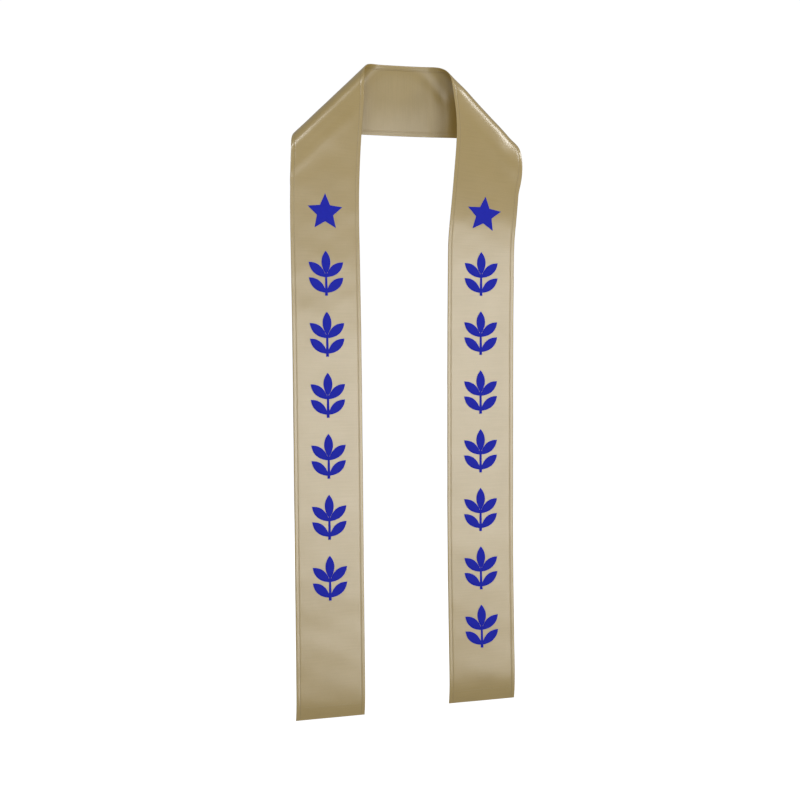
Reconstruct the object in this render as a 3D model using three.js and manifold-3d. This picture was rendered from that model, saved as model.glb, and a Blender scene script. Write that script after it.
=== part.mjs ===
// A graduation stole: one straight satin band that runs behind the neck, folds over on each
// shoulder and hangs down the front in two panels, with turned hems and applied emblems.
//
// Millimetres, +Z up, +X to the right as seen from the front, the front faces -Y. The origin is
// on the wearer's side of the band, in the middle of the nape.
//
// The band is a flat strip that is only bent, never stretched. Each half is followed along its
// centre line from the nape: at every place a straight line lies across the band, the ruling, and
// the band turns about it. At the nape the ruling stands upright. It slants to 45 degrees on the
// shoulder, where the band rolls over, and lies level on the panel.

import * as THREE from 'three';
import { mergeVertices } from 'three/addons/utils/BufferGeometryUtils.js';
import Module from 'manifold-3d';

// The band
const BAND_WIDTH = 100;
const CLOTH = 1.2;
const COLLAR_OPENING = 136; // between the two panels at the neck
const LEFT_FOLD_RUN = 140; // band length that rolls over on the shoulder
const RIGHT_FOLD_RUN = 120;
const LEFT_PANEL = 866; // from the middle of the shoulder fold to the free end
const RIGHT_PANEL = 865;

// The hems, turned to the wearer's side
const SEAM_GAP = 0.3;
const HEM_CLOTH = 1;
const SIDE_HEM = 7;
const END_HEM = 20;
const HEM_CLEARANCE = 0.5;

// The applied emblems
const EMBLEM_WIDTH = 50;
const EMBLEM_HEIGHT = 62;
const EMBLEM_FILM = 0.6;
const EMBLEM_PITCH = 84;
const FIRST_EMBLEM = 168; // below the middle of the shoulder fold
const LEFT_SPRIGS = 6;
const RIGHT_SPRIGS = 7;
const STAR_POINTS = 5;
const STAR_WAIST = 0.47; // inner radius as a share of the outer one
const STEM_WIDTH = 4;
const LEAF_WIDTH = 13;
const LEAF_LEAN = 50; // degrees from the stem
const LEAF_BELLY = 0.55; // where a leaf is widest, as a share of its length

// How finely the cloth is followed
const WALK_STEP = 1;
const FOLD_STEP = 5;
const PANEL_STEP = 18;
const COLUMNS_ACROSS = 3;
const EMBLEM_FACET = 22;

const SATIN = { color: 0xbfae7f, roughness: 0.42, metalness: 0.1 };
const SATIN_BACK = { color: 0xa8976b, roughness: 0.5, metalness: 0.1 };
const ROYAL_BLUE = { color: 0x1d2596, roughness: 0.55, metalness: 0 };

const DEGREE = Math.PI / 180;
const FOLD_AT = COLLAR_OPENING / 2 + BAND_WIDTH / 2;
const LEAF_LENGTH = EMBLEM_WIDTH / 2 / Math.sin(LEAF_LEAN * DEGREE);

// How the band bends, each half in the order in which it is reached from the nape. `at` is the
// middle of a change and `spread` the length that it takes, both as shares of the named length;
// `turn` is in degrees, forwards over the shoulder when positive.
const NECK_BENDS = [{ at: 0.3, spread: 0.6, turn: 2 }]; // shares of FOLD_AT
const SLANT_RETURN = { at: 1.05, spread: 1.3 }; // shares of BAND_WIDTH, from the fold's middle

const HALVES = {
  left: {
    side: -1,
    panel: LEFT_PANEL,
    foldRun: LEFT_FOLD_RUN,
    sprigs: LEFT_SPRIGS,
    foldTurn: 179,
    // cotangent of the angle between the centre line and the ruling at the fold's middle
    foldSlant: -1.11,
    // shares of the panel's length, from the fold's middle
    bends: [
      { at: 0.39, spread: 0.3, turn: 1.5 },
      { at: 0.97, spread: 0.08, turn: 5 },
    ],
    // how the panel swings in its own plane, towards the middle when positive
    sways: [{ at: 0.15, spread: 0.2, turn: 4.8 }],
  },
  right: {
    side: 1,
    panel: RIGHT_PANEL,
    foldRun: RIGHT_FOLD_RUN,
    sprigs: RIGHT_SPRIGS,
    foldTurn: 172.5,
    foldSlant: -1.04,
    bends: [
      { at: 0.2, spread: 0.19, turn: 8 },
      { at: 0.39, spread: 0.3, turn: -1.5 },
      { at: 0.97, spread: 0.08, turn: 8 },
    ],
    sways: [
      { at: 0.082, spread: 0.105, turn: 8.4 },
      { at: 0.234, spread: 0.093, turn: -7 },
      { at: 0.75, spread: 0.3, turn: -1 },
    ],
  },
};

// A step from 0 to 1 whose slope and curvature are 0 at both ends.
function ease(x) {
  const u = Math.min(1, Math.max(0, x));
  return u * u * u * (10 - 15 * u + 6 * u * u);
}

// The sum of a table's changes that have happened by `s`.
function changed(rows, s) {
  let total = 0;
  for (const row of rows) {
    total += row.change * ease((s - row.middle + row.length / 2) / row.length);
  }
  return total;
}

// A table's rows with their shares turned into lengths from the nape.
function lengths(rows, unit, start, scale) {
  return rows.map((row) => ({
    middle: start + row.at * unit,
    length: row.spread * unit,
    change: row.turn * scale,
  }));
}

// One half of the band, from the nape to its free end.
class Half {
  constructor({ side, panel, foldRun, foldTurn, foldSlant, bends, sways }) {
    this.side = side;
    this.length = FOLD_AT + panel;
    this.foldEnd = FOLD_AT + foldRun / 2;
    this.bends = [
      ...lengths(NECK_BENDS, FOLD_AT, 0, DEGREE),
      { middle: FOLD_AT, length: foldRun, change: foldTurn * DEGREE },
      ...lengths(bends, panel, FOLD_AT, DEGREE),
    ];
    this.slants = [
      { middle: FOLD_AT / 2, length: FOLD_AT, change: foldSlant },
      {
        middle: FOLD_AT + SLANT_RETURN.at * BAND_WIDTH,
        length: SLANT_RETURN.spread * BAND_WIDTH,
        change: -foldSlant,
      },
    ];
    this.sways = lengths(sways, panel, FOLD_AT, DEGREE);
    this.frames = this.walk();
  }

  slant(s) {
    return changed(this.slants, s);
  }

  // Follows the centre line and keeps a frame at every step: the centre, the direction along the
  // band and the direction across it, which is upwards at the nape and inwards on the panel.
  walk() {
    const steps = Math.ceil(this.length / WALK_STEP);
    const step = this.length / steps;
    const centre = new THREE.Vector3();
    const along = new THREE.Vector3(this.side, 0, 0);
    const across = new THREE.Vector3(0, 0, 1);
    const frames = [{ centre: centre.clone(), along: along.clone(), across: across.clone() }];
    for (let i = 1; i <= steps; i += 1) {
      const before = (i - 1) * step;
      const after = i * step;
      const ruling = along.clone().multiplyScalar(this.slant((before + after) / 2)).add(across);
      ruling.normalize();
      const bend = -this.side * (changed(this.bends, after) - changed(this.bends, before));
      centre.addScaledVector(along.clone().applyAxisAngle(ruling, bend / 2), step);
      along.applyAxisAngle(ruling, bend);
      across.applyAxisAngle(ruling, bend);
      const sway = changed(this.sways, after) - changed(this.sways, before);
      const swung = along.clone().multiplyScalar(Math.cos(sway));
      swung.addScaledVector(across, Math.sin(sway));
      across.multiplyScalar(Math.cos(sway)).addScaledVector(along, -Math.sin(sway));
      along.copy(swung);
      frames.push({ centre: centre.clone(), along: along.clone(), across: across.clone() });
    }
    this.step = step;
    return frames;
  }

  // The frame at the length `s` from the nape.
  frame(s) {
    const place = Math.max(0, s / this.step);
    const index = Math.min(Math.floor(place), this.frames.length - 2);
    const share = place - index;
    const from = this.frames[index];
    const to = this.frames[index + 1];
    return {
      centre: from.centre.clone().lerp(to.centre, share),
      along: from.along.clone().lerp(to.along, share).normalize(),
      across: from.across.clone().lerp(to.across, share).normalize(),
    };
  }

  // The point on the ruling that starts at `s`, `t` across the band and `lift` above the
  // wearer's side of the cloth.
  point(s, t, lift) {
    const { centre, along, across } = this.frame(s);
    const face = new THREE.Vector3().crossVectors(along, across).multiplyScalar(-this.side);
    return centre
      .addScaledVector(along, t * this.slant(s))
      .addScaledVector(across, t)
      .addScaledVector(face, lift);
  }

  // The same, for a point of the flat strip that lies `x` along it: the ruling through that
  // point starts a little before or after `x` where it is slanted.
  pointOfFlat(x, t, lift) {
    let s = x;
    for (let round = 0; round < 12; round += 1) {
      s = x - t * this.slant(s);
    }
    return this.point(s, t, lift);
  }

  // Where the cloth has a row of corners, from the nape to `end`: close together over the
  // shoulder and wide apart on the panel.
  stations(end) {
    const curved = Math.min(end, this.foldEnd + FOLD_STEP);
    const folds = Math.max(1, Math.round(curved / FOLD_STEP));
    const spans = Math.max(1, Math.round((end - curved) / PANEL_STEP));
    const list = [];
    for (let i = 0; i <= folds; i += 1) {
      list.push((curved * i) / folds);
    }
    for (let i = 1; i <= spans && end > curved; i += 1) {
      list.push(curved + ((end - curved) * i) / spans);
    }
    return list;
  }
}

const halves = { left: new Half(HALVES.left), right: new Half(HALVES.right) };

// Rows across the whole band, from the left free end over the nape to the right free end.
function wholeBandRows() {
  const left = halves.left.stations(halves.left.length).map((s) => ({ half: halves.left, s }));
  const right = halves.right.stations(halves.right.length).map((s) => ({ half: halves.right, s }));
  return [...left.slice(1).reverse(), ...right];
}

// A closed slab of cloth that follows the rows, between two places across the band and two
// heights above the wearer's side. Rows run so that the face side lies to the left of them.
function slab(rows, across, heights, columns) {
  const [low, high] = across;
  const [under, over] = heights;
  const ring = [];
  for (let j = 0; j <= columns; j += 1) {
    ring.push({ t: low + ((high - low) * j) / columns, lift: over });
  }
  for (let j = columns; j >= 0; j -= 1) {
    ring.push({ t: low + ((high - low) * j) / columns, lift: under });
  }
  const corners = ring.length;
  const positions = [];
  for (const { half, s } of rows) {
    for (const { t, lift } of ring) {
      positions.push(...half.point(s, t, lift).toArray());
    }
  }
  const triangles = [];
  for (let i = 0; i + 1 < rows.length; i += 1) {
    for (let j = 0; j < corners; j += 1) {
      const here = i * corners + j;
      const next = i * corners + ((j + 1) % corners);
      triangles.push(here, next, next + corners);
      triangles.push(here, next + corners, here + corners);
    }
  }
  const last = (rows.length - 1) * corners;
  for (let j = 0; j < columns; j += 1) {
    const opposite = corners - 1 - j;
    triangles.push(j, opposite, opposite - 1, j, opposite - 1, j + 1);
    triangles.push(last + j, last + opposite - 1, last + opposite);
    triangles.push(last + j, last + j + 1, last + opposite - 1);
  }
  return closedGeometry(positions, triangles);
}

function closedGeometry(positions, triangles) {
  const geometry = new THREE.BufferGeometry();
  geometry.setAttribute('position', new THREE.Float32BufferAttribute(positions, 3));
  geometry.setIndex(triangles);
  return geometry;
}

// The outline of a five-pointed star, with one point upwards.
function starShape() {
  const radius = EMBLEM_WIDTH / 2 / Math.cos(18 * DEGREE);
  const shape = new THREE.Shape();
  for (let i = 0; i < 2 * STAR_POINTS; i += 1) {
    const reach = i % 2 === 0 ? radius : radius * STAR_WAIST;
    const angle = 90 * DEGREE + (i * Math.PI) / STAR_POINTS;
    const corner = [reach * Math.cos(angle), reach * Math.sin(angle)];
    if (i === 0) {
      shape.moveTo(...corner);
    } else {
      shape.lineTo(...corner);
    }
  }
  shape.closePath();
  return shape;
}

// A leaf with its foot at the origin and its tip upwards.
function leafShape() {
  const belly = LEAF_LENGTH * LEAF_BELLY;
  const shape = new THREE.Shape();
  shape.moveTo(0, 0);
  shape.quadraticCurveTo(LEAF_WIDTH, belly, 0, LEAF_LENGTH);
  shape.quadraticCurveTo(-LEAF_WIDTH, belly, 0, 0);
  return shape;
}

// The stem of a sprig, from its foot to the foot of the top leaf.
function stemShape(foot, top) {
  const shape = new THREE.Shape();
  shape.moveTo(-STEM_WIDTH / 2, foot);
  shape.lineTo(STEM_WIDTH / 2, foot);
  shape.lineTo(STEM_WIDTH / 3, top);
  shape.lineTo(-STEM_WIDTH / 3, top);
  shape.closePath();
  return shape;
}

const wasm = await Module();
wasm.setup();

// A flat prism of the film's thickness as a solid that can be joined.
function filmSolid(shape, placement) {
  const settings = { depth: EMBLEM_FILM, bevelEnabled: false, curveSegments: 4, steps: 1 };
  const geometry = new THREE.ExtrudeGeometry(shape, settings);
  geometry.applyMatrix4(placement);
  geometry.deleteAttribute('normal');
  geometry.deleteAttribute('uv');
  const merged = mergeVertices(geometry, 1e-4);
  return new wasm.Manifold(
    new wasm.Mesh({
      numProp: 3,
      vertProperties: new Float32Array(merged.attributes.position.array),
      triVerts: new Uint32Array(merged.index.array),
    }),
  );
}

function starFilm() {
  return filmSolid(starShape(), new THREE.Matrix4());
}

// A sprig: a stem with two pairs of leaves and one leaf at its top.
function sprigFilm() {
  const foot = -EMBLEM_HEIGHT / 2;
  const topLeafFoot = EMBLEM_HEIGHT / 2 - LEAF_LENGTH;
  let film = filmSolid(stemShape(foot, topLeafFoot + STEM_WIDTH), new THREE.Matrix4());
  const topLeaf = new THREE.Matrix4().makeTranslation(0, topLeafFoot, 0);
  film = film.add(filmSolid(leafShape(), topLeaf));
  const pairFeet = [foot + STEM_WIDTH, topLeafFoot - STEM_WIDTH];
  for (const pairFoot of pairFeet) {
    for (const side of [-1, 1]) {
      const placement = new THREE.Matrix4().makeTranslation(0, pairFoot, 0);
      placement.multiply(new THREE.Matrix4().makeRotationZ(-side * LEAF_LEAN * DEGREE));
      film = film.add(filmSolid(leafShape(), placement));
    }
  }
  return film;
}

// A film's mesh with every edge cut that is longer than `longest`, so that it can bend.
function refined(film, longest) {
  const mesh = film.getMesh();
  const points = [];
  for (let i = 0; i < mesh.vertProperties.length; i += 3) {
    points.push(new THREE.Vector3().fromArray(mesh.vertProperties, i));
  }
  let triangles = [];
  for (let i = 0; i < mesh.triVerts.length; i += 3) {
    triangles.push([mesh.triVerts[i], mesh.triVerts[i + 1], mesh.triVerts[i + 2]]);
  }
  for (let cuts = 1; cuts > 0; ) {
    const middles = new Map();
    const middle = (a, b) => {
      const key = a < b ? `${a} ${b}` : `${b} ${a}`;
      if (!middles.has(key)) {
        const long = points[a].distanceTo(points[b]) > longest;
        if (long) {
          points.push(points[a].clone().lerp(points[b], 0.5));
        }
        middles.set(key, long ? points.length - 1 : null);
      }
      return middles.get(key);
    };
    const next = [];
    for (const [a, b, c] of triangles) {
      next.push(...split([a, b, c], [middle(a, b), middle(b, c), middle(c, a)]));
    }
    cuts = next.length - triangles.length;
    triangles = next;
  }
  return { points, triangles };
}

// A triangle cut at the middles of its long edges; a middle is null where the edge is short.
function split([a, b, c], [ab, bc, ca]) {
  const cuts = [ab, bc, ca].filter((middle) => middle !== null).length;
  if (cuts === 0) {
    return [[a, b, c]];
  }
  if (cuts === 3) {
    return [
      [a, ab, ca],
      [ab, b, bc],
      [ca, bc, c],
      [ab, bc, ca],
    ];
  }
  if (ab === null) {
    return split([b, c, a], [bc, ca, ab]);
  }
  if (cuts === 1) {
    return [
      [a, ab, c],
      [ab, b, c],
    ];
  }
  if (ca !== null) {
    return split([c, a, b], [ca, ab, bc]);
  }
  return [
    [ab, b, bc],
    [a, ab, bc],
    [a, bc, c],
  ];
}

// A film laid on a panel with its middle `below` the fold's middle, a seam gap above the cloth.
function laidOnPanel(film, half, below) {
  const { points, triangles } = refined(film, EMBLEM_FACET);
  const positions = [];
  for (const point of points) {
    const x = FOLD_AT + below - point.y;
    const t = -half.side * point.x;
    positions.push(...half.pointOfFlat(x, t, CLOTH + SEAM_GAP + point.z).toArray());
  }
  return closedGeometry(positions, triangles.flat());
}

const stole = new THREE.Group();

function addPiece(name, geometry, look) {
  const material = new THREE.MeshStandardMaterial(look);
  const mesh = new THREE.Mesh(geometry, material);
  mesh.name = name;
  stole.add(mesh);
}

function addBand() {
  const edge = BAND_WIDTH / 2;
  addPiece('satin_band', slab(wholeBandRows(), [-edge, edge], [0, CLOTH], COLUMNS_ACROSS), SATIN);
}

function addSideHems() {
  const edge = BAND_WIDTH / 2;
  const heights = [-SEAM_GAP - HEM_CLOTH, -SEAM_GAP];
  const rows = wholeBandRows();
  addPiece('inner_edge_hem', slab(rows, [edge - SIDE_HEM, edge], heights, 1), SATIN_BACK);
  addPiece('outer_edge_hem', slab(rows, [-edge, SIDE_HEM - edge], heights, 1), SATIN_BACK);
}

function addEndHem(name, half) {
  const reach = BAND_WIDTH / 2 - SIDE_HEM - HEM_CLEARANCE;
  const heights = [-SEAM_GAP - HEM_CLOTH, -SEAM_GAP];
  const rows = [half.length - END_HEM, half.length - END_HEM / 2, half.length];
  const ordered = half.side < 0 ? rows.reverse() : rows;
  const placed = ordered.map((s) => ({ half, s }));
  addPiece(name, slab(placed, [-reach, reach], heights, COLUMNS_ACROSS), SATIN_BACK);
}

function addEmblems(name) {
  const half = halves[name];
  addPiece(`${name}_star`, laidOnPanel(starFilm(), half, FIRST_EMBLEM), ROYAL_BLUE);
  for (let i = 1; i <= HALVES[name].sprigs; i += 1) {
    const below = FIRST_EMBLEM + i * EMBLEM_PITCH;
    addPiece(`${name}_sprig_${i}`, laidOnPanel(sprigFilm(), half, below), ROYAL_BLUE);
  }
}

addBand();
addSideHems();
addEndHem('left_end_hem', halves.left);
addEndHem('right_end_hem', halves.right);
addEmblems('left');
addEmblems('right');

export default stole;
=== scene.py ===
"""A graduation stole of champagne-gold satin, as it hangs when worn, dressed for rendering.

Everything is in metres in the part's own frame: +Z up, +X to the right as seen from the front,
and the origin at the nape on the wearer's side of the cloth.

The band is a flat strip that is only bent. A place on the flat strip is `x` along it from the
nape, negative towards the left panel, and `t` across it, positive towards the edge that is
uppermost at the nape and innermost on the panels. `lift` is the height above the wearer's side.
Every piece is worked out on the flat strip and then laid on the hanging one.
"""

from __future__ import annotations

import logging
import math
from dataclasses import dataclass, field
from enum import Enum

import bmesh
import bpy
import numpy as np
from bpy.types import ID, Material, Node, NodeSocket, NodeTree, Object
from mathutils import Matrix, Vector
from mathutils.geometry import delaunay_2d_cdt

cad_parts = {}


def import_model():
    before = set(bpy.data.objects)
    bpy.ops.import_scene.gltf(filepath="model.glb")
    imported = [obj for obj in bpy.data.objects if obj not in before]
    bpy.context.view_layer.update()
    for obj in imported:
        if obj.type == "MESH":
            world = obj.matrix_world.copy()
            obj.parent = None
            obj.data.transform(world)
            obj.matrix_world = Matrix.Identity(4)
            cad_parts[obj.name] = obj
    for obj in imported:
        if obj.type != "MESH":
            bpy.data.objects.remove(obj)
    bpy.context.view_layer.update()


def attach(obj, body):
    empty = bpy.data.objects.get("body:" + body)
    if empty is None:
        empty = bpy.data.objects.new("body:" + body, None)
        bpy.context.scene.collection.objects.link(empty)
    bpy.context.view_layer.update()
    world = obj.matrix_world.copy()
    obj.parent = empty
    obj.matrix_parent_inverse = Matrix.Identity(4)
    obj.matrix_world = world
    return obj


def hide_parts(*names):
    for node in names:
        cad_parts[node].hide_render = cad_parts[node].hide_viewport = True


log = logging.getLogger("graduation_stole")

MM = 0.001
DEGREE = math.pi / 180

BAND_WIDTH = 100 * MM
CLOTH = 1.2 * MM  # the face side's height above the wearer's side
COLLAR_OPENING = 136 * MM
FOLD_AT = COLLAR_OPENING / 2 + BAND_WIDTH / 2  # the middle of a shoulder fold
EMBLEM_WIDTH = 50 * MM
EMBLEM_HEIGHT = 62 * MM
EMBLEM_PITCH = 84 * MM
FIRST_EMBLEM = 168 * MM

# How a half bends and slants, as shares of FOLD_AT or of BAND_WIDTH past the fold's middle
NECK_BEND_AT = 0.3
NECK_BEND_SPREAD = 0.6
NECK_BEND = 2  # degrees
SLANT_RETURN_AT = 1.05
SLANT_RETURN_SPREAD = 1.3
RULING_ROUNDS = 60  # the ruling's start is then found within 0.01 mm

CLOTH_UV = "cloth"


class Side(Enum):
    """The two halves of the band, by the sign of `x` on the flat strip."""

    LEFT = -1
    RIGHT = 1


def ease(share: np.ndarray) -> np.ndarray:
    """A step from 0 to 1 whose slope and curvature are 0 at both ends: u³(10 − 15u + 6u²)."""
    u = np.clip(share, 0.0, 1.0)
    return u * u * u * (10 - 15 * u + 6 * u * u)


def bell(distance: np.ndarray, reach: float) -> np.ndarray:
    """A smooth hump of height 1 that falls to 1/e at `reach`: exp(−(distance/reach)²)."""
    return np.exp(-((distance / reach) ** 2))


@dataclass(frozen=True)
class Change:
    """A smooth change along the band."""

    middle: float  # from the nape, in metres
    length: float
    amount: float


def changed(rows: tuple[Change, ...], s: np.ndarray) -> np.ndarray:
    """The sum of the changes that have happened by `s`."""
    total = np.zeros_like(s, dtype=float)
    for row in rows:
        total += row.amount * ease((s - row.middle + row.length / 2) / row.length)
    return total


def turned(vector: np.ndarray, axis: np.ndarray, angle: float) -> np.ndarray:
    """The vector turned about a unit axis by an angle, by Rodrigues' formula."""
    along = axis * np.dot(axis, vector) * (1 - math.cos(angle))
    return vector * math.cos(angle) + np.cross(axis, vector) * math.sin(angle) + along


@dataclass
class HalfBand:
    """One half of the band, followed along its centre line from the nape to its free end.

    At every place a straight line lies across the band, the ruling, and the band turns about
    it. The same walk as in the part's source gives the same shape.
    """

    side: Side
    panel: float
    fold_run: float
    fold_turn: float
    fold_slant: float
    panel_bends: tuple[tuple[float, float, float], ...]
    panel_sways: tuple[tuple[float, float, float], ...]
    step: float = 1 * MM
    length: float = field(init=False)
    bends: tuple[Change, ...] = field(init=False)
    slants: tuple[Change, ...] = field(init=False)
    sways: tuple[Change, ...] = field(init=False)
    frames: np.ndarray = field(init=False)

    def __post_init__(self) -> None:
        """Works out the changes along the half and follows it once."""
        self.length = FOLD_AT + self.panel
        self.bends = (
            Change(NECK_BEND_AT * FOLD_AT, NECK_BEND_SPREAD * FOLD_AT, NECK_BEND * DEGREE),
            Change(FOLD_AT, self.fold_run, self.fold_turn * DEGREE),
            *self.on_panel(self.panel_bends),
        )
        self.slants = (
            Change(FOLD_AT / 2, FOLD_AT, self.fold_slant),
            Change(
                FOLD_AT + SLANT_RETURN_AT * BAND_WIDTH,
                SLANT_RETURN_SPREAD * BAND_WIDTH,
                -self.fold_slant,
            ),
        )
        self.sways = self.on_panel(self.panel_sways)
        self.walk()

    def on_panel(self, rows: tuple[tuple[float, float, float], ...]) -> tuple[Change, ...]:
        """Changes given as shares of the panel's length and in degrees, as lengths and radians."""
        return tuple(
            Change(FOLD_AT + at * self.panel, spread * self.panel, turn * DEGREE)
            for at, spread, turn in rows
        )

    def walk(self) -> None:
        """Turns a frame about the ruling step by step and keeps it at every step."""
        sign = self.side.value
        steps = math.ceil(round(self.length / self.step, 6))
        self.step = self.length / steps
        places = np.arange(steps + 1) * self.step
        slants = changed(self.slants, (places[1:] + places[:-1]) / 2)
        bends = -sign * np.diff(changed(self.bends, places))
        sways = np.diff(changed(self.sways, places))
        centre = np.zeros(3)
        along = np.array([sign, 0.0, 0.0])
        across = np.array([0.0, 0.0, 1.0])
        frames = [(centre, along, across)]
        for slant, bend, sway in zip(slants, bends, sways):
            ruling = slant * along + across
            ruling = ruling / np.linalg.norm(ruling)
            centre = centre + turned(along, ruling, bend / 2) * self.step
            along = turned(along, ruling, bend)
            across = turned(across, ruling, bend)
            swung = along * math.cos(sway) + across * math.sin(sway)
            across = across * math.cos(sway) - along * math.sin(sway)
            along = swung
            frames.append((centre, along, across))
        self.frames = np.array(frames)

    def slant(self, s: np.ndarray) -> np.ndarray:
        """How far the ruling runs along the band for each unit across it."""
        return changed(self.slants, s)

    def ruling_start(self, x: np.ndarray, t: np.ndarray) -> np.ndarray:
        """Where the ruling through a flat place crosses the centre line: s = x − t·slant(s)."""
        s = np.array(x, dtype=float)
        for _ in range(RULING_ROUNDS):
            s = x - t * self.slant(s)
        return s

    def place(self, x: np.ndarray, t: np.ndarray, lift: np.ndarray) -> np.ndarray:
        """The points in space of places on the flat half.

        Args:
            x: Distance from the nape along the band, never negative.
            t: Distance across the band from its centre line.
            lift: Height above the wearer's side.

        Returns:
            An array of points: centre + t·(slant·along + across) + lift·face.
        """
        s = self.ruling_start(x, t)
        at = np.clip(s / self.step, 0, len(self.frames) - 1)
        index = np.minimum(at.astype(int), len(self.frames) - 2)
        share = (at - index)[..., None, None]
        frames = self.frames[index] * (1 - share) + self.frames[index + 1] * share
        centre, along, across = frames[..., 0, :], frames[..., 1, :], frames[..., 2, :]
        face = -self.side.value * np.cross(along, across)
        t = t[..., None]
        return centre + t * (self.slant(s)[..., None] * along + across) + lift[..., None] * face


@dataclass(frozen=True)
class Roll:
    """A soft ridge, or a hollow when negative, that lies along the rulings of a shoulder."""

    side: Side
    at: float  # from the fold's middle along the centre line
    reach: float
    height: float


@dataclass(frozen=True)
class Dimple:
    """A soft oval hump, or a hollow when negative, on the flat strip."""

    x: float
    t: float
    reach_along: float
    reach_across: float
    height: float
    lean: float = 0.0  # degrees from the band's length towards its width


class Relief:
    """The cloth's own softness: how far its surface stands off the plainly bent strip."""

    rolls: tuple[Roll, ...] = (
        Roll(Side.LEFT, 22 * MM, 10 * MM, 0.25 * MM),
        Roll(Side.LEFT, 40 * MM, 12 * MM, -1.1 * MM),
        Roll(Side.LEFT, 64 * MM, 14 * MM, 0.7 * MM),
        Roll(Side.RIGHT, 18 * MM, 10 * MM, 0.2 * MM),
        Roll(Side.RIGHT, 38 * MM, 12 * MM, -0.6 * MM),
        Roll(Side.RIGHT, 62 * MM, 12 * MM, 0.4 * MM),
    )
    dimples: tuple[Dimple, ...] = (
        Dimple(176 * MM, -36 * MM, 16 * MM, 14 * MM, -1.1 * MM, 20),
        Dimple(208 * MM, -44 * MM, 14 * MM, 12 * MM, 0.9 * MM, 0),
        Dimple(42 * MM, 0 * MM, 5 * MM, 70 * MM, 0.3 * MM, 0),
        Dimple(84 * MM, -22 * MM, 22 * MM, 36 * MM, -2.0 * MM, 0),
        Dimple(104 * MM, 36 * MM, 14 * MM, 26 * MM, 1.2 * MM, 0),
        Dimple(-988 * MM, 0 * MM, 13 * MM, 400 * MM, -1.6 * MM, 0),
        Dimple(987 * MM, 0 * MM, 11 * MM, 400 * MM, -1.0 * MM, 0),
    )
    arch_depth: float = 0.9 * MM
    arch_reach: float = 9 * MM
    arch_middle: float = -3 * MM
    arch_half_width: float = 78 * MM
    arch_rise: float = 100 * MM
    arch_foot: float = 40 * MM  # above the bottom edge, where the arch begins to show
    arch_fade: float = 25 * MM
    nape_flare: float = 3.5 * MM
    ripple: float = 0.05 * MM

    def neck_arch(self, x: np.ndarray, t: np.ndarray) -> np.ndarray:
        """A faint arch-shaped valley at the nape, over a bottom edge that flares backwards.

        The valley follows the upper part of a half ellipse that stands on the bottom edge.
        """
        up = t + BAND_WIDTH / 2
        radius = np.hypot((x - self.arch_middle) / self.arch_half_width, up / self.arch_rise)
        valley = bell((radius - 1) * self.arch_rise, self.arch_reach)
        upper = ease((up - self.arch_foot) / self.arch_fade)
        flare = np.clip(-2 * t / BAND_WIDTH, 0, 1) ** 2 * bell(x, FOLD_AT / 2)
        return self.arch_depth * valley * upper + self.nape_flare * flare

    def ripples(self, x: np.ndarray, t: np.ndarray) -> np.ndarray:
        """Fine slack in the cloth: a sum of slanting waves about 20 to 90 mm long."""
        waves = (
            (91 * MM, 8, 0.4, 2.0),
            (57 * MM, -14, 1.9, 1.4),
            (38 * MM, 24, 4.1, 0.9),
            (23 * MM, -35, 2.7, 0.5),
        )
        total = np.zeros_like(x)
        for length, lean, phase, share in waves:
            way = x * math.cos(lean * DEGREE) + t * math.sin(lean * DEGREE)
            total += share * np.sin(2 * math.pi * way / length + phase)
        return self.ripple * total

    def height(self, x: np.ndarray, t: np.ndarray, s: np.ndarray) -> np.ndarray:
        """How far the cloth stands off, towards its face side.

        Args:
            x: Place along the flat strip, negative on the left half.
            t: Place across it.
            s: Where the ruling through the place crosses the centre line, never negative.

        Returns:
            Heights in metres: the sum of the rolls, dimples, neck arch and ripples.
        """
        total = self.neck_arch(x, t) + self.ripples(x, t)
        for roll in self.rolls:
            here = np.sign(x) == roll.side.value
            total += np.where(here, roll.height * bell(s - FOLD_AT - roll.at, roll.reach), 0.0)
        for dimple in self.dimples:
            cosine, sine = math.cos(dimple.lean * DEGREE), math.sin(dimple.lean * DEGREE)
            along = (x - dimple.x) * cosine + (t - dimple.t) * sine
            across = (t - dimple.t) * cosine - (x - dimple.x) * sine
            total += (
                dimple.height
                * bell(along, dimple.reach_along)
                * bell(across, dimple.reach_across)
            )
        return total


class HangingStrip:
    """The whole band as it hangs: lays places of the flat strip on the hanging one."""

    def __init__(self) -> None:
        """Follows both halves."""
        self.left = HalfBand(
            Side.LEFT,
            panel=866 * MM,
            fold_run=140 * MM,
            fold_turn=179,
            fold_slant=-1.11,
            panel_bends=((0.39, 0.3, 1.5), (0.97, 0.08, 5)),
            panel_sways=((0.15, 0.2, 4.8),),
        )
        self.right = HalfBand(
            Side.RIGHT,
            panel=865 * MM,
            fold_run=120 * MM,
            fold_turn=172.5,
            fold_slant=-1.04,
            panel_bends=((0.2, 0.19, 8), (0.39, 0.3, -1.5), (0.97, 0.08, 8)),
            panel_sways=((0.082, 0.105, 8.4), (0.234, 0.093, -7), (0.75, 0.3, -1)),
        )
        self.relief = Relief()

    def lay(self, x: np.ndarray, t: np.ndarray, lift: np.ndarray) -> np.ndarray:
        """The points in space of places on the flat strip, with the cloth's relief."""
        x, t, lift = np.broadcast_arrays(np.asarray(x, float), t, lift)
        points = np.empty((*x.shape, 3))
        for half in (self.left, self.right):
            here = (x < 0) == (half.side is Side.LEFT)
            away, over = np.abs(x[here]), t[here]
            s = half.ruling_start(away, over)
            stand = self.relief.height(x[here], over, s)
            points[here] = half.place(away, over, lift[here] + stand)
        return points

    def end(self, side: Side) -> float:
        """The signed place of a free end on the flat strip."""
        half = self.left if side is Side.LEFT else self.right
        return side.value * half.length


# Finishes


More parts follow.
